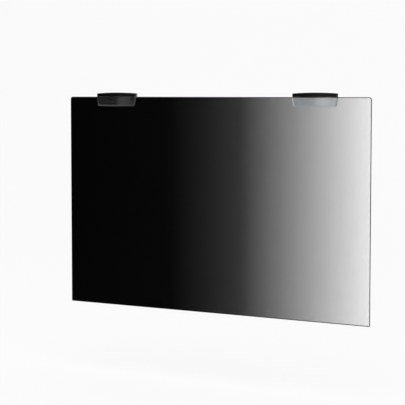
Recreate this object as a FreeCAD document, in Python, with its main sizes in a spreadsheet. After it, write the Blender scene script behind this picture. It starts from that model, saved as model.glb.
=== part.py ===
"""Privacy filter for a 24 inch 16:10 monitor, held on the monitor's top edge by two magnetic hangers.

A louvre film sheet covers the screen. Each hanger has a clear tab taped to the front of the sheet and a
black rail plugged onto the tab's tongue. The rail reaches back over the monitor and drops over a steel base
bar, which foam tape holds on the monitor's top. Block magnets in the rail hold the bar, so the filter lifts
off by hand.

Millimetres. The origin is the centre of the sheet's back face, which lies on the screen. +X is the viewer's
right, +Y goes into the monitor and +Z is up. A hanger's own origin is on the sheet's top edge, in the middle
of the hanger.
"""
import FreeCAD
import Part
import os

import Sketcher

# Driving dimensions: name, millimetres, meaning.
DIMENSIONS = [
    ("panel_width", 518, "sheet, left to right"),
    ("panel_height", 324, "sheet, bottom to top"),
    ("panel_thickness", 0.8, "laminated sheet"),
    ("panel_top_radius", 4, "rounding of the sheet's top corners"),
    ("panel_bottom_radius", 1.5, "rounding of the sheet's bottom corners"),
    ("hanger_spacing", 342, "middle of the left hanger to middle of the right one"),
    ("hanger_width", 74, "front of the rail, and top of the tab"),
    ("front_bow", 1.2, "how far the fronts of tab and rail swell in the middle"),
    ("tab_drop", 14.5, "tab below the sheet's top edge"),
    ("tab_taper", 3.5, "how far each side of the tab leans in at the bottom"),
    ("tab_thickness", 2, "tab at its sides"),
    ("tab_bevel_face", 2.2, "width of the rim's bevel, seen from the front"),
    ("tab_bevel_depth", 1.1, "depth of the rim's bevel"),
    ("tab_inner_radius", 1.8, "corners of the flat inside the bevel"),
    ("tongue_shoulder", 5, "step from the tab's side to its tongue"),
    ("tongue_height", 3, "tongue above the tab's shoulders"),
    ("tongue_thickness", 1.2, "tongue, front to back"),
    ("tongue_clearance", 0.05, "play between the tongue and its slot"),
    ("tab_tape_thickness", 0.5, "clear tape behind the tab"),
    ("tab_tape_inset", 2.5, "rim of the tab that the tape leaves free"),
    ("tab_tape_radius", 1.5, "bottom corners of the clear tape"),
    ("rail_lift", 0.1, "gap from the monitor's top to the rail"),
    ("rail_rake", 6, "how far each end of the rail leans in towards its back"),
    ("rail_wall", 3, "rail beside the bay for the base bar, at the back"),
    ("rail_roof", 0.7, "rail above the magnets, measured at its ends"),
    ("rail_crown", 1.4, "rise of the rail's top from its ends to its middle"),
    ("rail_proud", 0.5, "rail in front of the tab"),
    ("rail_overhang", 2, "rail behind the base bar"),
    ("rail_corner_radius", 2, "upright corners of the rail"),
    ("rail_edge_radius", 0.8, "rounding round the rail's top"),
    ("bay_clearance", 0.3, "play between the base bar and its bay"),
    ("bay_lead_in", 1, "bevel at the mouth of the bay"),
    ("base_setback", 2.2, "from the sheet's back to the base bar"),
    ("base_depth", 6, "base bar, front to back"),
    ("base_thickness", 2, "base bar"),
    ("base_corner_radius", 1.6, "upright corners of the base bar"),
    ("base_bevel", 0.4, "bevel round the base bar's top"),
    ("base_tape_thickness", 0.8, "foam tape under the base bar"),
    ("base_tape_inset", 0.8, "rim of the base bar that the foam tape leaves free"),
    ("magnet_count", 3, "magnets in each rail"),
    ("magnet_gap", 4.5, "between two magnets, and at the ends of the row"),
    ("magnet_side_margin", 0.75, "base bar in front of and behind the magnets"),
    ("magnet_thickness", 1.5, "magnet"),
    ("magnet_clearance", 0.1, "play round a magnet in its pocket"),
    ("magnet_bevel", 0.2, "bevel round a magnet"),
    ("cut_overrun", 5, "how far an open cut runs past the piece"),
]

doc = FreeCAD.newDocument("monitor_privacy_filter")
sheet = doc.addObject("Spreadsheet::Sheet", "Sizes")
for row, (alias, millimetres, meaning) in enumerate(DIMENSIONS, start=1):
    sheet.set(f"A{row}", alias)
    sheet.set(f"B{row}", str(millimetres))
    sheet.setAlias(f"B{row}", alias)
    sheet.set(f"C{row}", meaning)
doc.recompute()

# Lengths that follow from the sheet, written as expressions in it.
TAB_BACK = "(Sizes.panel_thickness + Sizes.tab_tape_thickness)"
TAB_FRONT = f"({TAB_BACK} + Sizes.tab_thickness)"
RAIL_FRONT = f"({TAB_FRONT} + Sizes.rail_proud)"
RAIL_BACK = "(Sizes.base_setback + Sizes.base_depth + Sizes.rail_overhang)"
HALF_HANGER = "(Sizes.hanger_width / 2)"
HALF_TONGUE = f"({HALF_HANGER} - Sizes.tongue_shoulder)"
BASE_WIDTH = "(Sizes.hanger_width - 2 * (Sizes.rail_rake + Sizes.rail_wall + Sizes.bay_clearance))"
BASE_BACK = "(Sizes.base_setback + Sizes.base_depth)"
BASE_TOP = "(Sizes.base_tape_thickness + Sizes.base_thickness)"
MAGNET_LENGTH = f"(({BASE_WIDTH} - (Sizes.magnet_count + 1) * Sizes.magnet_gap) / Sizes.magnet_count)"
MAGNET_PITCH = f"({MAGNET_LENGTH} + Sizes.magnet_gap)"
MAGNET_FRONT = "(Sizes.base_setback + Sizes.magnet_side_margin)"
MAGNET_BACK = f"({BASE_BACK} - Sizes.magnet_side_margin)"
RAIL_SHOULDER = f"({BASE_TOP} + Sizes.magnet_thickness + Sizes.magnet_clearance + Sizes.rail_roof)"

# Directions, and how near two lengths must be to count as equal when edges are picked.
Y_AXIS = FreeCAD.Vector(0, 1, 0)
Z_AXIS = FreeCAD.Vector(0, 0, 1)
TOLERANCE = 1e-6


def length(expression):
    """Value of an expression of the sheet, in millimetres."""
    return float(sheet.evalExpression(expression))


def rectangle(left, right, bottom, top):
    """Corners of an upright rectangle, anticlockwise."""
    return [(left, bottom), (right, bottom), (right, top), (left, top)]


def new_body(label, x="0", z="Sizes.panel_height / 2"):
    """Empty sub-part whose own origin lies at x, z in the filter's frame."""
    body = doc.addObject("PartDesign::Body", label)
    body.Label = label
    body.setExpression("Placement.Base.x", x)
    body.setExpression("Placement.Base.z", z)
    return body


def draw(body, name, plane_role, offset, corners, arc_side=None, half_chord=None, rise=None):
    """Closed sketch through corners, taken anticlockwise, each corner held by two expressions of the sheet.

    The sketch lies on one of the body's origin planes, moved by offset along that plane's normal. The side
    number arc_side, if any, is an arc over a chord of twice half_chord. It swells out by rise, or in where
    rise is negative.
    """
    sketch = body.newObject("Sketcher::SketchObject", name)
    plane = next(feature for feature in body.Origin.OriginFeatures if feature.Role == plane_role)
    sketch.AttachmentSupport = [(plane, "")]
    sketch.MapMode = "FlatFace"
    sketch.setExpression("AttachmentOffset.Base.z", offset)

    points = [FreeCAD.Vector(length(x), length(y), 0) for x, y in corners]
    first_end, last_end = [], []
    for side, start in enumerate(points):
        end = points[(side + 1) % len(points)]
        if side != arc_side:
            line = sketch.addGeometry(Part.LineSegment(start, end))
            first_end.append((line, 1))
            last_end.append((line, 2))
            continue
        along = (end - start).normalize()
        outward = FreeCAD.Vector(along.y, -along.x, 0)
        crest = (start + end) * 0.5 + outward * length(rise)
        swells_out = length(rise) > 0
        through = (start, crest, end) if swells_out else (end, crest, start)
        arc = sketch.addGeometry(Part.ArcOfCircle(*through))
        first_end.append((arc, 1 if swells_out else 2))
        last_end.append((arc, 2 if swells_out else 1))
        radius = f"(({half_chord})^2 + ({rise})^2) / (2 * abs({rise}))"
        index = sketch.addConstraint(Sketcher.Constraint("Radius", arc, length(radius)))
        sketch.setExpression(f"Constraints[{index}]", radius)

    for side, (x, y) in enumerate(corners):
        sketch.addConstraint(Sketcher.Constraint("Coincident", *last_end[side - 1], *first_end[side]))
        for kind, expression in (("DistanceX", x), ("DistanceY", y)):
            held = Sketcher.Constraint(kind, -1, 1, *first_end[side], length(expression))
            index = sketch.addConstraint(held)
            sketch.setExpression(f"Constraints[{index}]", expression)
    doc.recompute()
    if not sketch.FullyConstrained:
        raise RuntimeError(f"{body.Label}: sketch {name} is not fully constrained")
    return sketch


def pad(body, name, sketch, depth):
    """Solid of a sketch, along its normal."""
    feature = body.newObject("PartDesign::Pad", name)
    feature.Profile = sketch
    feature.setExpression("Length", depth)
    doc.recompute()
    return feature


def pocket_up(body, name, sketch, depth):
    """Cut of a level sketch, upwards into the solid."""
    before = body.Shape.Volume
    feature = body.newObject("PartDesign::Pocket", name)
    feature.Profile = sketch
    feature.Reversed = True
    feature.setExpression("Length", depth)
    doc.recompute()
    if not feature.Shape.Volume < before:
        raise RuntimeError(f"{body.Label}: {name} cuts nothing")
    return feature


def edges_where(feature, wanted):
    """Names of the edges of a feature that pass a test."""
    return [f"Edge{number}" for number, edge in enumerate(feature.Shape.Edges, start=1) if wanted(edge)]


def fillet(body, name, base, wanted, radius):
    """Rounding of those edges of the last feature that pass a test."""
    feature = body.newObject("PartDesign::Fillet", name)
    feature.Base = (base, edges_where(base, wanted))
    feature.setExpression("Radius", radius)
    doc.recompute()
    return feature


def chamfer(body, name, base, wanted, size):
    """Even bevel of those edges of the last feature that pass a test."""
    feature = body.newObject("PartDesign::Chamfer", name)
    feature.Base = (base, edges_where(base, wanted))
    feature.setExpression("Size", size)
    doc.recompute()
    return feature


def near(value, expression):
    """True where a measured value is the value of an expression of the sheet."""
    return abs(value - length(expression)) < TOLERANCE


def runs_along(edge, axis):
    """True for a straight edge along one axis."""
    direction = edge.Vertexes[-1].Point - edge.Vertexes[0].Point
    return direction.Length > 0 and abs(abs(direction.normalize().dot(axis)) - 1) < TOLERANCE


def bow_front(body, front, bottom, top):
    """Cuts the front of a hanger piece to an arc in plan, front_bow further out in the middle."""
    left, right = f"-{HALF_HANGER}", HALF_HANGER
    outside = f"-({front} + Sizes.front_bow + Sizes.cut_overrun)"
    sketch = draw(
        body, "front_bow_sketch", "XY_Plane", bottom, rectangle(left, right, outside, f"-{front}"),
        arc_side=2, half_chord=HALF_HANGER, rise="-Sizes.front_bow",
    )
    return pocket_up(body, "front_bow", sketch, f"{top} - ({bottom})")


def filter_panel():
    """Flat laminated sheet with rounded corners, the top ones larger."""
    body = new_body("filter_panel", z="0")
    half_width, half_height = "Sizes.panel_width / 2", "Sizes.panel_height / 2"
    corners = rectangle(f"-{half_width}", half_width, f"-{half_height}", half_height)
    outline = draw(body, "outline", "XZ_Plane", "0", corners)
    solid = pad(body, "laminate", outline, "Sizes.panel_thickness")

    def is_top_corner(edge):
        return runs_along(edge, Y_AXIS) and near(edge.CenterOfMass.z, half_height)

    def is_bottom_corner(edge):
        return runs_along(edge, Y_AXIS) and near(edge.CenterOfMass.z, f"-{half_height}")

    solid = fillet(body, "top_corners", solid, is_top_corner, "Sizes.panel_top_radius")
    fillet(body, "bottom_corners", solid, is_bottom_corner, "Sizes.panel_bottom_radius")
    return body


def tab(label, x):
    """Clear tab: a tapered plate with a bowed front, a bevelled rim, and a tongue on top for the rail."""
    body = new_body(label, x)
    shoulder, foot = "Sizes.rail_lift", "-Sizes.tab_drop"
    half_foot = f"({HALF_HANGER} - Sizes.tab_taper)"
    corners = [
        (f"-{half_foot}", foot), (half_foot, foot), (HALF_HANGER, shoulder), (f"-{HALF_HANGER}", shoulder)
    ]
    plate = draw(body, "plate_sketch", "XZ_Plane", TAB_BACK, corners)
    pad(body, "plate", plate, "Sizes.tab_thickness + Sizes.front_bow")
    solid = bow_front(body, TAB_FRONT, foot, shoulder)

    def is_foot_corner(edge):
        return runs_along(edge, Y_AXIS) and near(edge.CenterOfMass.z, foot)

    foot_radius = "Sizes.tab_bevel_face + Sizes.tab_inner_radius"
    solid = fillet(body, "foot_corners", solid, is_foot_corner, foot_radius)

    front_faces = [face for face in solid.Shape.Faces if face.BoundBox.YMax < -length(TAB_FRONT) + TOLERANCE]

    def is_front_rim(edge):
        on_front = any(edge.isSame(other) for face in front_faces for other in face.Edges)
        return on_front and edge.CenterOfMass.z < length(shoulder) - TOLERANCE

    rim = body.newObject("PartDesign::Chamfer", "rim_bevel")
    rim.Base = (solid, edges_where(solid, is_front_rim))
    rim.ChamferType = "Two distances"
    rim.setExpression("Size", "Sizes.tab_bevel_depth")
    rim.setExpression("Size2", "Sizes.tab_bevel_face")
    doc.recompute()

    tongue_top = f"({shoulder} + Sizes.tongue_height)"
    corners = rectangle(f"-{HALF_TONGUE}", HALF_TONGUE, shoulder, tongue_top)
    tongue = draw(body, "tongue_sketch", "XZ_Plane", TAB_BACK, corners)
    pad(body, "tongue", tongue, "Sizes.tongue_thickness")
    return body


def tab_tape(label, x):
    """Clear tape between tab and sheet, a little smaller than the tab all round."""
    body = new_body(label, x)
    inset = "Sizes.tab_tape_inset"
    lean = f"(Sizes.tab_taper * {inset} / Sizes.tab_drop)"
    half_top = f"({HALF_HANGER} - {inset} - {lean})"
    half_foot = f"({HALF_HANGER} - {inset} - Sizes.tab_taper + {lean})"
    foot, top = f"({inset} - Sizes.tab_drop)", f"-{inset}"
    corners = [(f"-{half_foot}", foot), (half_foot, foot), (half_top, top), (f"-{half_top}", top)]
    outline = draw(body, "outline", "XZ_Plane", "Sizes.panel_thickness", corners)
    solid = pad(body, "tape", outline, "Sizes.tab_tape_thickness")

    def is_foot_corner(edge):
        return runs_along(edge, Y_AXIS) and near(edge.CenterOfMass.z, foot)

    fillet(body, "foot_corners", solid, is_foot_corner, "Sizes.tab_tape_radius")
    return body


def rail(label, x):
    """Moulded rail with a crowned top, a bowed front and raked ends.

    From below it has a slot for the tab's tongue, a bay open to the rear for the base bar, and in the bay's
    ceiling a row of pockets for the magnets.
    """
    body = new_body(label, x)
    underside = "Sizes.rail_lift"
    corners = rectangle(f"-{HALF_HANGER}", HALF_HANGER, underside, RAIL_SHOULDER)
    profile = draw(
        body, "profile", "XZ_Plane", f"-{RAIL_BACK}", corners,
        arc_side=2, half_chord=HALF_HANGER, rise="Sizes.rail_crown",
    )
    pad(body, "block", profile, f"{RAIL_BACK} + {RAIL_FRONT} + Sizes.front_bow")
    crest = f"({RAIL_SHOULDER} + Sizes.rail_crown)"
    bow_front(body, RAIL_FRONT, underside, crest)

    front, half_back = f"-{RAIL_FRONT}", f"({HALF_HANGER} - Sizes.rail_rake)"
    outside = f"({HALF_HANGER} + Sizes.cut_overrun)"
    wedges = {
        "left": [
            (f"-{outside}", front), (f"-{HALF_HANGER}", front),
            (f"-{half_back}", RAIL_BACK), (f"-{outside}", RAIL_BACK),
        ],
        "right": [(HALF_HANGER, front), (outside, front), (outside, RAIL_BACK), (half_back, RAIL_BACK)],
    }
    for end, wedge_corners in wedges.items():
        wedge = draw(body, f"{end}_rake_sketch", "XY_Plane", underside, wedge_corners)
        solid = pocket_up(body, f"{end}_rake", wedge, f"{crest} - {underside}")

    def is_upright(edge):
        return runs_along(edge, Z_AXIS)

    def is_top_rim(edge):
        return edge.BoundBox.ZMin > length(RAIL_SHOULDER) - TOLERANCE

    solid = fillet(body, "upright_corners", solid, is_upright, "Sizes.rail_corner_radius")
    fillet(body, "top_rim", solid, is_top_rim, "Sizes.rail_edge_radius")

    half_slot = f"({HALF_TONGUE} + Sizes.tongue_clearance)"
    slot_front = f"-({TAB_BACK} + Sizes.tongue_thickness + Sizes.tongue_clearance)"
    slot_back = f"(Sizes.tongue_clearance - {TAB_BACK})"
    slot_corners = rectangle(f"-{half_slot}", half_slot, slot_front, slot_back)
    slot = draw(body, "tongue_slot_sketch", "XY_Plane", underside, slot_corners)
    pocket_up(body, "tongue_slot", slot, "Sizes.tongue_height + Sizes.tongue_clearance")

    half_bay = f"({BASE_WIDTH} / 2 + Sizes.bay_clearance)"
    bay_front = "(Sizes.base_setback - Sizes.bay_clearance)"
    bay_corners = rectangle(f"-{half_bay}", half_bay, bay_front, f"({RAIL_BACK} + Sizes.cut_overrun)")
    bay = draw(body, "bay_sketch", "XY_Plane", underside, bay_corners)
    solid = pocket_up(body, "bay", bay, f"{BASE_TOP} - {underside}")

    def is_bay_mouth(edge):
        box = edge.BoundBox
        at_rear = near(box.YMin, RAIL_BACK)
        return at_rear and box.ZMin > length(underside) - TOLERANCE and near(box.ZMax, BASE_TOP)

    chamfer(body, "bay_mouth", solid, is_bay_mouth, "Sizes.bay_lead_in")

    play = "Sizes.magnet_clearance"
    pocket_left = f"(Sizes.magnet_gap - {BASE_WIDTH} / 2 - {play})"
    pocket_right = f"({pocket_left} + {MAGNET_LENGTH} + 2 * {play})"
    pocket_front, pocket_back = f"({MAGNET_FRONT} - {play})", f"({MAGNET_BACK} + {play})"
    pocket_corners = rectangle(pocket_left, pocket_right, pocket_front, pocket_back)
    first = draw(body, "magnet_pocket_sketch", "XY_Plane", BASE_TOP, pocket_corners)
    first_pocket = pocket_up(body, "magnet_pocket", first, f"Sizes.magnet_thickness + {play}")
    row = body.newObject("PartDesign::LinearPattern", "magnet_pocket_row")
    row.Originals = [first_pocket]
    row.Direction = (first, ["H_Axis"])
    row.setExpression("Length", f"{MAGNET_PITCH} * (Sizes.magnet_count - 1)")
    row.setExpression("Occurrences", "Sizes.magnet_count")
    body.Tip = row
    doc.recompute()
    return body


def magnet(label, x):
    """Block magnet in its pocket, with its pole face on the base bar."""
    body = new_body(label, x)
    half = f"({MAGNET_LENGTH} / 2)"
    corners = rectangle(f"-{half}", half, MAGNET_FRONT, MAGNET_BACK)
    outline = draw(body, "outline", "XY_Plane", BASE_TOP, corners)
    solid = pad(body, "block", outline, "Sizes.magnet_thickness")
    chamfer(body, "edges", solid, lambda edge: True, "Sizes.magnet_bevel")
    return body


def base_bar(label, x):
    """Flat steel bar with rounded corners and a bevel round its top."""
    body = new_body(label, x)
    half = f"({BASE_WIDTH} / 2)"
    corners = rectangle(f"-{half}", half, "Sizes.base_setback", BASE_BACK)
    outline = draw(body, "outline", "XY_Plane", "Sizes.base_tape_thickness", corners)
    solid = pad(body, "bar", outline, "Sizes.base_thickness")
    solid = fillet(body, "corners", solid, lambda edge: runs_along(edge, Z_AXIS), "Sizes.base_corner_radius")
    local_top = length(BASE_TOP)

    def is_top_edge(edge):
        return edge.BoundBox.ZMin > local_top - TOLERANCE

    chamfer(body, "top_bevel", solid, is_top_edge, "Sizes.base_bevel")
    return body


def base_tape(label, x):
    """Foam tape under the base bar, which sticks it to the monitor's top."""
    body = new_body(label, x)
    inset = "Sizes.base_tape_inset"
    half = f"({BASE_WIDTH} / 2 - {inset})"
    corners = rectangle(f"-{half}", half, f"(Sizes.base_setback + {inset})", f"({BASE_BACK} - {inset})")
    outline = draw(body, "outline", "XY_Plane", "0", corners)
    solid = pad(body, "tape", outline, "Sizes.base_tape_thickness")
    radius = f"Sizes.base_corner_radius - {inset}"
    fillet(body, "corners", solid, lambda edge: runs_along(edge, Z_AXIS), radius)
    return body


sub_parts = [filter_panel()]
for side, sign in (("left", "-1"), ("right", "1")):
    middle = f"{sign} * Sizes.hanger_spacing / 2"
    sub_parts += [
        tab(f"{side}_tab", middle),
        tab_tape(f"{side}_tab_tape", middle),
        rail(f"{side}_rail", middle),
        base_bar(f"{side}_base_bar", middle),
        base_tape(f"{side}_base_tape", middle),
    ]
    for place in range(int(sheet.magnet_count)):
        along = f"({place} - (Sizes.magnet_count - 1) / 2) * {MAGNET_PITCH}"
        sub_parts.append(magnet(f"{side}_magnet_{place + 1}", f"{middle} + {along}"))

doc.recompute()
for item in doc.Objects:
    if "Invalid" in item.State or "Error" in item.State:
        raise RuntimeError(f"{item.Label} failed: {item.State}")
for part in sub_parts:
    if part.Shape.isNull() or not part.Shape.isValid() or len(part.Shape.Solids) != 1:
        raise RuntimeError(f"{part.Label} is not one valid solid")

os.makedirs("parts", exist_ok=True)
for part in sub_parts:
    part.Shape.exportStep(f"parts/{part.Label}.step")
    print(part.Label, part.Shape.BoundBox, round(part.Shape.Volume, 2))
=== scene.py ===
"""Monitor privacy filter: a louvre sheet that fades from black to clear, on two magnetic hangers."""
import math

import bmesh
import bpy
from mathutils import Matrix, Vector


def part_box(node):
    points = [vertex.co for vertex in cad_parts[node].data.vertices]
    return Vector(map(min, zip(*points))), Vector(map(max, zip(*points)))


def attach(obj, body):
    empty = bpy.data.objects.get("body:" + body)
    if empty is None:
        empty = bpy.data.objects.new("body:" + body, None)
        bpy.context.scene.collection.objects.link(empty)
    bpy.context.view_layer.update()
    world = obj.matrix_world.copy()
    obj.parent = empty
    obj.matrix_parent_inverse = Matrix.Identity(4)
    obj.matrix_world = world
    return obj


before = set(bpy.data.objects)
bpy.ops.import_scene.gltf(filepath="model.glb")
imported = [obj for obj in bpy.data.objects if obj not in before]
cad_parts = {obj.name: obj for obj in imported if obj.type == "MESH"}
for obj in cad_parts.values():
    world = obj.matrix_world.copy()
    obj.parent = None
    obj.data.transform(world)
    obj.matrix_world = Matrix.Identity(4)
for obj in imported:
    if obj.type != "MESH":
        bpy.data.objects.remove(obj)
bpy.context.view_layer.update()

# The sheet is a louvre film laminated between two clear polyester films and die-cut to size.
# Both faces are coated against glare. A painted shade darkens it, deep on the left and clearing to the
# right;
# it stands in for the darkness that the louvres give where the sheet is seen at a slant.

MM = 0.001
PAINTED_SHADE_LEAST = 0.065  # share of light that the painted shade passes at the left edge
PAINTED_SHADE_MOST = 0.985  # and at the right edge
PAINTED_SHADE_CURVE = 2.5  # how late the painted shade clears towards the right
COATING_GRAIN = 1.5 * MM  # the real grain is about 0.05 mm, drawn coarser so that it shows
sheet_low, sheet_high = (Vector(corner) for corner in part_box("filter_panel"))


def linear(hex_colour):
    """Linear RGBA of an sRGB colour written as #rrggbb."""
    channels = [int(hex_colour[start:start + 2], 16) / 255 for start in (1, 3, 5)]
    return [c / 12.92 if c <= 0.04045 else ((c + 0.055) / 1.055) ** 2.4 for c in channels] + [1.0]


def add_node(tree, kind, inputs=None, **settings):
    """Adds a node with its settings, and gives each input a value or a link from a node's output."""
    node = tree.nodes.new(kind)
    for setting, value in settings.items():
        setattr(node, setting, value)
    for socket, given in (inputs or {}).items():
        if isinstance(given, bpy.types.NodeSocket):
            tree.links.new(given, node.inputs[socket])
        else:
            node.inputs[socket].default_value = given
    return node


def start_material(name):
    """A material with an empty node tree, and that tree."""
    material = bpy.data.materials.new(name)
    material.use_nodes = True
    material.node_tree.nodes.clear()
    return material, material.node_tree


def finish_nodes(material, *nodes):
    """Gives CAD nodes their finish."""
    for node in nodes:
        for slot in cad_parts[node].material_slots:
            slot.material = material


# Coated polyester, with only a faint soft sheen. A painted shade makes it near black on the left
# and water clear on the right.
film, tree = start_material("antiglare_polyester_film")
place = add_node(tree, "ShaderNodeTexCoord").outputs["Object"]
axes = add_node(tree, "ShaderNodeSeparateXYZ", {"Vector": place})
across = add_node(
    tree,
    "ShaderNodeMapRange",
    {"Value": axes.outputs["X"], "From Min": sheet_low.x, "From Max": sheet_high.x},
)
late = add_node(
    tree, "ShaderNodeMath", {0: across.outputs["Result"], 1: PAINTED_SHADE_CURVE}, operation="POWER"
)
# Painted shade: the share of light that the film passes grows from the left edge to the right.
passed = add_node(
    tree,
    "ShaderNodeMapRange",
    {"Value": late.outputs["Value"], "To Min": PAINTED_SHADE_LEAST, "To Max": PAINTED_SHADE_MOST},
)
# Light crosses two faces of the sheet, so each face passes the square root.
each_face = add_node(tree, "ShaderNodeMath", {0: passed.outputs["Result"]}, operation="SQRT")
held_back = add_node(
    tree, "ShaderNodeMath", {0: 1.0, 1: each_face.outputs["Value"]}, operation="SUBTRACT"
)
coating = add_node(
    tree, "ShaderNodeTexNoise", {"Vector": place, "Scale": 1 / COATING_GRAIN, "Detail": 3.0}
)
haze = add_node(
    tree, "ShaderNodeMapRange", {"Value": coating.outputs["Fac"], "To Min": 0.30, "To Max": 0.42}
)
surface = add_node(
    tree,
    "ShaderNodeBsdfPrincipled",
    {
        "Base Color": linear("#020203"),
        "IOR": 1.5,
        "Specular IOR Level": 0.03,
        "Roughness": haze.outputs["Result"],
        "Alpha": held_back.outputs["Value"],
    },
)
add_node(tree, "ShaderNodeOutputMaterial", {"Surface": surface.outputs["BSDF"]})
finish_nodes(film, "filter_panel")

# The louvres are black slats that stand on edge inside the sheet and shut off the view from the side.
# They are skived from a block of silicone, dark and clear by turns, and laminated between the two films.
# Over the left half and a little more they are deep, and from there they grow shallow to the right.

SLAT_PITCH = 0.3 * MM  # real slats stand about 0.1 mm apart, which is too fine and too many to draw
SLAT_THICKNESS = 0.024 * MM
SLAT_DEEP = 0.438 * MM
SLAT_SHALLOW = 0.039 * MM
SHALLOW_FROM = 0.59  # share of the sheet's width at which the slats start to grow shallow
SEALED_RIM = 1.0 * MM  # black seal round the cut edge
TOP_RADIUS = 4.0 * MM
BOTTOM_RADIUS = 1.5 * MM
CUT_MARK = 6 * MM  # unevenness along a slat

# Carbon-filled silicone: dull black, a little uneven along the cut.
louvre_black, tree = start_material("carbon_black_silicone")
place = add_node(tree, "ShaderNodeTexCoord").outputs["Object"]
cut_marks = add_node(
    tree, "ShaderNodeTexNoise", {"Vector": place, "Scale": 1 / CUT_MARK, "Detail": 2.0}
)
shade = add_node(
    tree,
    "ShaderNodeMix",
    {0: cut_marks.outputs["Fac"], 6: linear("#040405"), 7: linear("#08080a")},
    data_type="RGBA",
)
surface = add_node(
    tree,
    "ShaderNodeBsdfPrincipled",
    {"Base Color": shade.outputs[2], "Roughness": 0.65, "IOR": 1.43, "Specular IOR Level": 0.2},
)
add_node(tree, "ShaderNodeOutputMaterial", {"Surface": surface.outputs["BSDF"]})

tree = bpy.data.node_groups.new("louvre_slats", "GeometryNodeTree")
tree.interface.new_socket(name="Slats", in_out="OUTPUT", socket_type="NodeSocketGeometry")
slat_sizes = {
    "Width": sheet_high.x - sheet_low.x,
    "Height": sheet_high.z - sheet_low.z,
    "Middle": (sheet_low.y + sheet_high.y) / 2,
    "Pitch": SLAT_PITCH,
    "Thickness": SLAT_THICKNESS,
    "Deep": SLAT_DEEP,
    "Shallow": SLAT_SHALLOW,
    "Shallow From": SHALLOW_FROM,
    "Rim": SEALED_RIM,
    "Top Radius": TOP_RADIUS,
    "Bottom Radius": BOTTOM_RADIUS,
}
slat_inputs = {
    name: tree.interface.new_socket(name=name, in_out="INPUT", socket_type="NodeSocketFloat")
    for name in slat_sizes
}
given = add_node(tree, "NodeGroupInput")
spot = add_node(tree, "GeometryNodeInputPosition")
axes = add_node(tree, "ShaderNodeSeparateXYZ", {"Vector": spot.outputs["Position"]})
known = {name: given.outputs[name] for name in slat_sizes} | {"slat x": axes.outputs["X"]}
workings = [
    ("half width", "MULTIPLY", "Width", 0.5),
    ("half height", "MULTIPLY", "Height", 0.5),
    ("half rim", "MULTIPLY", "Rim", 0.5),
    ("first slat x", "SUBTRACT", "Rim", "half width"),
    ("row", "MULTIPLY", "first slat x", -2.0),
    ("gaps", "DIVIDE", "row", "Pitch"),
    ("whole gaps", "FLOOR", "gaps", 0.0),
    ("slats", "ADD", "whole gaps", 1.0),
    ("from left", "ADD", "slat x", "half width"),
    ("share across", "DIVIDE", "from left", "Width"),
    ("off middle", "ABSOLUTE", "slat x", 0.0),
    ("from side", "SUBTRACT", "half width", "off middle"),
]
# Near a rounded corner a slat ends sooner, by the arc's drop at its place.
for end in ("Top", "Bottom"):
    workings += [
        (f"{end} overlap", "SUBTRACT", f"{end} Radius", "from side"),
        (f"{end} into arc", "MAXIMUM", f"{end} overlap", 0.0),
        (f"{end} into arc squared", "POWER", f"{end} into arc", 2.0),
        (f"{end} radius squared", "POWER", f"{end} Radius", 2.0),
        (f"{end} rise squared", "SUBTRACT", f"{end} radius squared", f"{end} into arc squared"),
        (f"{end} rise", "SQRT", f"{end} rise squared", 0.0),
        (f"{end} drop", "SUBTRACT", f"{end} Radius", f"{end} rise"),
        (f"{end} inset", "ADD", f"{end} drop", "half rim"),
        (f"{end} reach", "SUBTRACT", "half height", f"{end} inset"),
    ]
workings += [
    ("slat height", "ADD", "Top reach", "Bottom reach"),
    ("reach difference", "SUBTRACT", "Top reach", "Bottom reach"),
    ("slat z", "MULTIPLY", "reach difference", 0.5),
]
for name, operation, first, second in workings:
    operands = {0: known.get(first, first), 1: known.get(second, second)}
    result = add_node(tree, "ShaderNodeMath", operands, operation=operation, label=name)
    known[name] = result.outputs["Value"]
slat_depth = add_node(
    tree,
    "ShaderNodeMapRange",
    {
        "Value": known["share across"],
        "From Min": known["Shallow From"],
        "From Max": 1.0,
        "To Min": known["Deep"],
        "To Max": known["Shallow"],
    },
)
slat_size = add_node(
    tree,
    "ShaderNodeCombineXYZ",
    {"X": known["Thickness"], "Y": slat_depth.outputs["Result"], "Z": known["slat height"]},
)
start = add_node(tree, "ShaderNodeCombineXYZ", {"X": known["first slat x"], "Y": known["Middle"]})
step = add_node(tree, "ShaderNodeCombineXYZ", {"X": known["Pitch"]})
row = add_node(
    tree,
    "GeometryNodeMeshLine",
    {
        "Count": known["slats"],
        "Start Location": start.outputs["Vector"],
        "Offset": step.outputs["Vector"],
    },
)
lift = add_node(tree, "ShaderNodeCombineXYZ", {"Z": known["slat z"]})
lifted = add_node(
    tree, "GeometryNodeSetPosition", {"Geometry": row.outputs["Mesh"], "Offset": lift.outputs["Vector"]}
)
slat = add_node(tree, "GeometryNodeMeshCube", {"Size": (1.0, 1.0, 1.0)})
standing = add_node(
    tree,
    "GeometryNodeInstanceOnPoints",
    {
        "Points": lifted.outputs["Geometry"],
        "Instance": slat.outputs["Mesh"],
        "Scale": slat_size.outputs["Vector"],
    },
)
realized = add_node(tree, "GeometryNodeRealizeInstances", {"Geometry": standing.outputs["Instances"]})
coloured = add_node(
    tree, "GeometryNodeSetMaterial", {"Geometry": realized.outputs["Geometry"], "Material": louvre_black}
)
add_node(tree, "NodeGroupOutput", {"Slats": coloured.outputs["Geometry"]})


def add_piece(name, mesh):
    """An object at the origin that holds a mesh."""
    piece = bpy.data.objects.new(name, mesh)
    bpy.context.scene.collection.objects.link(piece)
    return piece


carrier = add_piece("slat_carrier", bpy.data.meshes.new("louvre_slats"))
growth = carrier.modifiers.new("louvre_slats", "NODES")
growth.node_group = tree
for name, socket in slat_inputs.items():
    growth[socket.identifier] = slat_sizes[name]
grown = carrier.evaluated_get(bpy.context.evaluated_depsgraph_get())
louvres = add_piece("louvre_slats", bpy.data.meshes.new_from_object(grown))
bpy.data.objects.remove(carrier)
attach(louvres, "root")

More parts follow.
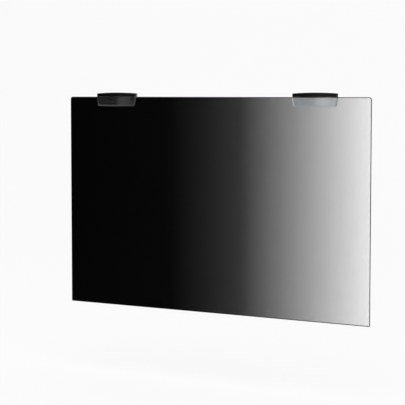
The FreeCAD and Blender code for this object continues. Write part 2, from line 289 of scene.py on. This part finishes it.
# The cut edge of the film is sealed with a thin black line of lacquer, which keeps the layers together.
# It runs inside the sheet's outline, and from outside it is the fine dark border along every side.

SEAL_INSET = 0.05 * MM
SEAL_SKIN = 0.03 * MM  # clear film left over the seal on either face
CORNER_STEPS = 8


def sheet_outline(inset):
    """Points of the sheet's rounded outline, drawn in by an inset."""
    points = []
    for side_x, side_z, radius, first_turn in (
        (1, 1, TOP_RADIUS, 0),
        (-1, 1, TOP_RADIUS, 90),
        (-1, -1, BOTTOM_RADIUS, 180),
        (1, -1, BOTTOM_RADIUS, 270),
    ):
        centre_x = side_x * (slat_sizes["Width"] / 2 - radius)
        centre_z = side_z * (slat_sizes["Height"] / 2 - radius)
        reach = radius - inset
        for index in range(CORNER_STEPS + 1):
            turn = math.radians(first_turn + 90 * index / CORNER_STEPS)
            points.append((centre_x + reach * math.cos(turn), centre_z + reach * math.sin(turn)))
    return points


front, back = sheet_low.y + SEAL_SKIN, sheet_high.y - SEAL_SKIN
outer, inner = sheet_outline(SEAL_INSET), sheet_outline(SEAL_INSET + SEALED_RIM)
seal = bmesh.new()
rings = [
    [seal.verts.new((x, y, z)) for x, z in outline]
    for y, outline in ((front, outer), (back, outer), (back, inner), (front, inner))
]
for ring, next_ring in zip(rings, rings[1:] + rings[:1]):
    for index in range(len(ring)):
        after = (index + 1) % len(ring)
        seal.faces.new((ring[index], ring[after], next_ring[after], next_ring[index]))
bmesh.ops.recalc_face_normals(seal, faces=seal.faces)
seal_mesh = bpy.data.meshes.new("edge_seal")
seal.to_mesh(seal_mesh)
seal.free()
seal_mesh.materials.append(louvre_black)
edge_seal = add_piece("edge_seal", seal_mesh)
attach(edge_seal, "root")

# Double-sided clear acrylic tape bonds each tab to the sheet's face.
# It is die-cut a little smaller than the tab, so that its edge hides behind the bevel.

TAPE_CLOUD = 4 * MM  # patches of haze

# Acrylic adhesive: clear, with a trace of milky haze.
tape, tree = start_material("clear_acrylic_tape")
place = add_node(tree, "ShaderNodeTexCoord").outputs["Object"]
clouds = add_node(
    tree, "ShaderNodeTexNoise", {"Vector": place, "Scale": 1 / TAPE_CLOUD, "Detail": 2.0}
)
milk = add_node(
    tree, "ShaderNodeMapRange", {"Value": clouds.outputs["Fac"], "To Min": 0.002, "To Max": 0.005}
)
surface = add_node(
    tree,
    "ShaderNodeBsdfPrincipled",
    {"Base Color": linear("#dfe3e6"), "Roughness": 0.5, "IOR": 1.47, "Alpha": milk.outputs["Result"]},
)
add_node(tree, "ShaderNodeOutputMaterial", {"Surface": surface.outputs["BSDF"]})
finish_nodes(tape, "left_tab_tape", "right_tab_tape")

# The tabs are injection-moulded from clear polycarbonate, with a bowed front and a bevelled rim.
# Each one's tongue is pressed up into the slot of its rail, and the tab holds the sheet from the front.

MOULD_FLOW = 9 * MM  # unevenness of the polish, from the melt's flow
KEY_ROUGHNESS = 0.12  # what the etched back adds to the polish
KEY_DEPTH = 0.02 * MM  # how near the back a point counts as etched
tab_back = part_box("left_tab")[1][1]

# Polished polycarbonate: clear and faintly cool, with bright lines where the bevel bends the light.
# The back is etched, as a key for the tape, which blurs what shines back from it.
polycarbonate, tree = start_material("clear_polycarbonate")
place = add_node(tree, "ShaderNodeTexCoord").outputs["Object"]
flow = add_node(tree, "ShaderNodeTexNoise", {"Vector": place, "Scale": 1 / MOULD_FLOW, "Detail": 1.0})
polish = add_node(
    tree, "ShaderNodeMapRange", {"Value": flow.outputs["Fac"], "To Min": 0.05, "To Max": 0.09}
)
axes = add_node(tree, "ShaderNodeSeparateXYZ", {"Vector": place})
etched = add_node(
    tree, "ShaderNodeMath", {0: axes.outputs["Y"], 1: tab_back - KEY_DEPTH}, operation="GREATER_THAN"
)
blur = add_node(
    tree,
    "ShaderNodeMath",
    {0: etched.outputs["Value"], 1: KEY_ROUGHNESS, 2: polish.outputs["Result"]},
    operation="MULTIPLY_ADD",
)
surface = add_node(
    tree,
    "ShaderNodeBsdfPrincipled",
    {
        "Base Color": linear("#eef3f6"),
        "IOR": 1.585,
        "Transmission Weight": 1.0,
        "Roughness": blur.outputs["Value"],
    },
)
add_node(tree, "ShaderNodeOutputMaterial", {"Surface": surface.outputs["BSDF"]})
finish_nodes(polycarbonate, "left_tab", "right_tab")

# The rails are moulded ABS covers with a crowned roof and raked ends, which reach back over the mounting
# edge. Below, three pockets hold magnets, and a bay takes the steel bar that stays on that edge.

MOULD_GRAIN = 0.6 * MM  # the real grain is about 0.1 mm, drawn coarser so that it shows
GRAIN_RELIEF = 0.03 * MM
MELT_CLOUD = 12 * MM  # patches of paler and deeper black, from the melt

# Satin ABS, black in the mass: a fine spark-eroded grain from the mould breaks up its reflections.
abs_black, tree = start_material("satin_black_abs")
place = add_node(tree, "ShaderNodeTexCoord").outputs["Object"]
grain = add_node(
    tree, "ShaderNodeTexNoise", {"Vector": place, "Scale": 1 / MOULD_GRAIN, "Detail": 4.0}
)
satin = add_node(
    tree, "ShaderNodeMapRange", {"Value": grain.outputs["Fac"], "To Min": 0.20, "To Max": 0.30}
)
relief = add_node(
    tree,
    "ShaderNodeBump",
    {"Height": grain.outputs["Fac"], "Strength": 0.12, "Distance": GRAIN_RELIEF},
)
clouds = add_node(
    tree, "ShaderNodeTexNoise", {"Vector": place, "Scale": 1 / MELT_CLOUD, "Detail": 1.0}
)
shade = add_node(
    tree,
    "ShaderNodeMix",
    {0: clouds.outputs["Fac"], 6: linear("#040405"), 7: linear("#080809")},
    data_type="RGBA",
)
surface = add_node(
    tree,
    "ShaderNodeBsdfPrincipled",
    {
        "Base Color": shade.outputs[2],
        "IOR": 1.53,
        "Specular IOR Level": 0.25,
        "Roughness": satin.outputs["Result"],
        "Normal": relief.outputs["Normal"],
    },
)
add_node(tree, "ShaderNodeOutputMaterial", {"Surface": surface.outputs["BSDF"]})
finish_nodes(abs_black, "left_rail", "right_rail")

# Three block magnets sit glued in the pockets of each rail and draw it down on to its bar.
# They are sintered neodymium, ground to size and nickel plated.

SCRATCH_LENGTH, SCRATCH_WIDTH = 8 * MM, 0.3 * MM  # drawn wider than real ones so that they show

# Nickel plate: bright warm grey, with the fine scratches that the grinding left under it.
nickel, tree = start_material("nickel_plate")
place = add_node(tree, "ShaderNodeTexCoord").outputs["Object"]
stretched = add_node(
    tree,
    "ShaderNodeMapping",
    {"Vector": place, "Scale": (1 / SCRATCH_LENGTH, 1 / SCRATCH_WIDTH, 1 / SCRATCH_WIDTH)},
)
scratches = add_node(
    tree, "ShaderNodeTexNoise", {"Vector": stretched.outputs["Vector"], "Scale": 1.0, "Detail": 3.0}
)
polish = add_node(
    tree, "ShaderNodeMapRange", {"Value": scratches.outputs["Fac"], "To Min": 0.16, "To Max": 0.34}
)
surface = add_node(
    tree,
    "ShaderNodeBsdfPrincipled",
    {"Base Color": linear("#c8c3ba"), "Metallic": 1.0, "Roughness": polish.outputs["Result"]},
)
add_node(tree, "ShaderNodeOutputMaterial", {"Surface": surface.outputs["BSDF"]})
for side in ("left", "right"):
    finish_nodes(nickel, f"{side}_magnet_1", f"{side}_magnet_2", f"{side}_magnet_3")

# The base bars are punched strips of steel that stay on the mounting edge, where the magnets find them.
# They are dip-coated black against rust, which rounds their edges.

PEEL = 1.2 * MM  # waves of the lacquer
PEEL_RELIEF = 0.05 * MM

# Black electrocoat: a dull lacquer with a slight orange peel.
coated_steel, tree = start_material("black_electrocoated_steel")
place = add_node(tree, "ShaderNodeTexCoord").outputs["Object"]
peel = add_node(tree, "ShaderNodeTexNoise", {"Vector": place, "Scale": 1 / PEEL, "Detail": 2.0})
ripple = add_node(
    tree,
    "ShaderNodeBump",
    {"Height": peel.outputs["Fac"], "Strength": 0.15, "Distance": PEEL_RELIEF},
)
dull = add_node(
    tree, "ShaderNodeMapRange", {"Value": peel.outputs["Fac"], "To Min": 0.38, "To Max": 0.52}
)
surface = add_node(
    tree,
    "ShaderNodeBsdfPrincipled",
    {
        "Base Color": linear("#131315"),
        "IOR": 1.5,
        "Roughness": dull.outputs["Result"],
        "Normal": ripple.outputs["Normal"],
    },
)
add_node(tree, "ShaderNodeOutputMaterial", {"Surface": surface.outputs["BSDF"]})
finish_nodes(coated_steel, "left_base_bar", "right_base_bar")

# Acrylic foam tape under each bar bonds it to the mounting edge and takes up the edge's unevenness.
# It is cut from a roll, a little smaller than the bar.

FOAM_CELL = 0.5 * MM  # the real cells are about 0.1 mm, drawn coarser so that they show
CELL_DEPTH = 0.1 * MM

# Acrylic foam: matt dark grey, with fine cells.
foam, tree = start_material("grey_acrylic_foam")
place = add_node(tree, "ShaderNodeTexCoord").outputs["Object"]
cells = add_node(tree, "ShaderNodeTexVoronoi", {"Vector": place, "Scale": 1 / FOAM_CELL})
shade = add_node(
    tree,
    "ShaderNodeMix",
    {0: cells.outputs["Distance"], 6: linear("#2b2c2f"), 7: linear("#1b1c1e")},
    data_type="RGBA",
)
pits = add_node(
    tree,
    "ShaderNodeBump",
    {"Height": cells.outputs["Distance"], "Strength": 0.4, "Distance": CELL_DEPTH},
)
surface = add_node(
    tree,
    "ShaderNodeBsdfPrincipled",
    {"Base Color": shade.outputs[2], "Roughness": 0.9, "IOR": 1.47, "Normal": pits.outputs["Normal"]},
)
add_node(tree, "ShaderNodeOutputMaterial", {"Surface": surface.outputs["BSDF"]})
finish_nodes(foam, "left_base_tape", "right_base_tape")

# The studio floor is a roll of white paper, laid out below the hanging sheet.
# Behind it the paper sweeps up in one curve and is the backdrop too.

FLOOR = -0.27  # about 0.1 m below the sheet
SWEEP_HALF_WIDTH = 6.0
SWEEP_FRONT, SWEEP_START, SWEEP_RADIUS, SWEEP_TOP = -4.0, 1.6, 1.0, 3.0
SWEEP_STEPS = 16
PAPER_GLOW = 0.85  # share of plain white that the lens sees, which leaves the rest to light and shadow


def seen_by_lens(tree):
    """Output that is 1 for rays of the picture, straight, mirrored or through glass, and else 0."""
    ray = add_node(tree, "ShaderNodeLightPath")
    seen = ray.outputs["Is Camera Ray"]
    for kind in ("Is Glossy Ray", "Is Transmission Ray"):
        either = add_node(tree, "ShaderNodeMath", {0: seen, 1: ray.outputs[kind]}, operation="MAXIMUM")
        seen = either.outputs["Value"]
    return seen


# Matt paper: an even white, with the soft shadow of what hangs above it.
paper, tree = start_material("white_paper")
share = add_node(
    tree, "ShaderNodeMath", {0: seen_by_lens(tree), 1: PAPER_GLOW}, operation="MULTIPLY"
)
matt = add_node(tree, "ShaderNodeBsdfDiffuse", {"Color": linear("#f2f2f2")})
glow = add_node(tree, "ShaderNodeEmission", {"Color": linear("#ffffff"), "Strength": 1.0})
surface = add_node(
    tree,
    "ShaderNodeMixShader",
    {0: share.outputs["Value"], 1: matt.outputs["BSDF"], 2: glow.outputs["Emission"]},
)
add_node(tree, "ShaderNodeOutputMaterial", {"Surface": surface.outputs["Shader"]})

profile = [(SWEEP_FRONT, FLOOR), (SWEEP_START, FLOOR)]
for index in range(1, SWEEP_STEPS + 1):
    turn = math.radians(90 * index / SWEEP_STEPS)
    profile.append(
        (SWEEP_START + SWEEP_RADIUS * math.sin(turn), FLOOR + SWEEP_RADIUS * (1 - math.cos(turn)))
    )
profile.append((SWEEP_START + SWEEP_RADIUS, SWEEP_TOP))
sweep = bmesh.new()
left = [sweep.verts.new((-SWEEP_HALF_WIDTH, y, z)) for y, z in profile]
right = [sweep.verts.new((SWEEP_HALF_WIDTH, y, z)) for y, z in profile]
for index in range(len(profile) - 1):
    sweep.faces.new((left[index], right[index], right[index + 1], left[index + 1])).smooth = True
sweep_mesh = bpy.data.meshes.new("paper_sweep")
sweep.to_mesh(sweep_mesh)
sweep.free()
sweep_mesh.materials.append(paper)
backdrop = add_piece("paper_sweep", sweep_mesh)

# The light is that of a soft studio: an even pale surround, a large softbox overhead, a smaller one in
# front on the right, and a narrow strip for each bowed tab. A black velvet card in front on the left is
# what the glossy black faces mirror, and keeps them deep.

SURROUND_LIGHT = 0.75  # how much it lights, while the lens sees it as plain white
CARD_MIDDLE = Vector((-0.69, -1.14, 0.15))
CARD_HALF_LENGTH = 1.3
CARD_BELOW, CARD_ABOVE = 0.42, 1.2

world = bpy.data.worlds.new("studio")
bpy.context.scene.world = world
world.use_nodes = True
tree = world.node_tree
tree.nodes.clear()
level = add_node(
    tree, "ShaderNodeMapRange", {"Value": seen_by_lens(tree), "To Min": SURROUND_LIGHT, "To Max": 1.0}
)
surround = add_node(
    tree, "ShaderNodeBackground", {"Color": linear("#ffffff"), "Strength": level.outputs["Result"]}
)
add_node(tree, "ShaderNodeOutputWorld", {"Surface": surround.outputs["Background"]})


def softbox(name, place, aim, size, watts):
    """A rectangular area lamp that faces a point."""
    lamp = bpy.data.lights.new(name, "AREA")
    lamp.shape = "RECTANGLE"
    (lamp.size, lamp.size_y), lamp.energy = size, watts
    holder = bpy.data.objects.new(name, lamp)
    holder.location = place
    holder.rotation_euler = (Vector(aim) - Vector(place)).to_track_quat("-Z", "Y").to_euler()
    bpy.context.scene.collection.objects.link(holder)


softbox("overhead_softbox", (0.4, -1.2, 2.2), aim=(0.0, 0.0, 0.0), size=(1.6, 1.6), watts=15.0)
softbox("front_softbox", (1.05, -2.6, 0.3), aim=(0.0, 0.0, 0.1), size=(0.9, 0.9), watts=7.0)
softbox(
    "left_tab_strip", (-0.776, -1.036, 0.148), aim=(-0.158, 0.0, 0.155), size=(0.12, 0.3), watts=0.066
)
softbox(
    "right_tab_strip", (-0.292, -1.104, 0.147), aim=(0.184, 0.0, 0.155), size=(0.12, 0.3), watts=0.18
)

# Velvet: a deep even black.
velvet, tree = start_material("black_velvet")
nap = add_node(tree, "ShaderNodeBsdfDiffuse", {"Color": linear("#0a0a0a")})
add_node(tree, "ShaderNodeOutputMaterial", {"Surface": nap.outputs["BSDF"]})
card_along = Vector((-CARD_MIDDLE.y, CARD_MIDDLE.x, 0.0)).normalized() * CARD_HALF_LENGTH
card_mesh = bpy.data.meshes.new("black_card")
card_mesh.from_pydata(
    [
        CARD_MIDDLE + side * card_along + Vector((0.0, 0.0, rise))
        for side, rise in ((-1, -CARD_BELOW), (1, -CARD_BELOW), (1, CARD_ABOVE), (-1, CARD_ABOVE))
    ],
    [],
    [(0, 1, 2, 3)],
)
card_mesh.materials.append(velvet)
card = add_piece("black_card", card_mesh)
card.visible_camera = card.visible_diffuse = card.visible_shadow = False

# The camera stands to the right of the sheet and a little above its middle.
# Its long lens lets the sheet's far left side look only a little lower than its near right side.

AZIMUTH = math.radians(30.93)
PITCH = math.radians(4.27)
DISTANCE = 2.216
TARGET = Vector((-0.0172, 0.0, 0.0039))
SENSOR_WIDTH, FOCAL_LENGTH = 36.0, 131.17  # in millimetres
forward = Vector(
    (-math.sin(AZIMUTH) * math.cos(PITCH), math.cos(AZIMUTH) * math.cos(PITCH), -math.sin(PITCH))
)
lens = bpy.data.cameras.new("camera")
lens.sensor_width, lens.lens = SENSOR_WIDTH, FOCAL_LENGTH
camera = bpy.data.objects.new("camera", lens)
camera.location = TARGET - forward * DISTANCE
camera.rotation_euler = forward.to_track_quat("-Z", "Y").to_euler()
bpy.context.scene.collection.objects.link(camera)
bpy.context.scene.camera = camera
bpy.context.scene.view_settings.view_transform = "Standard"
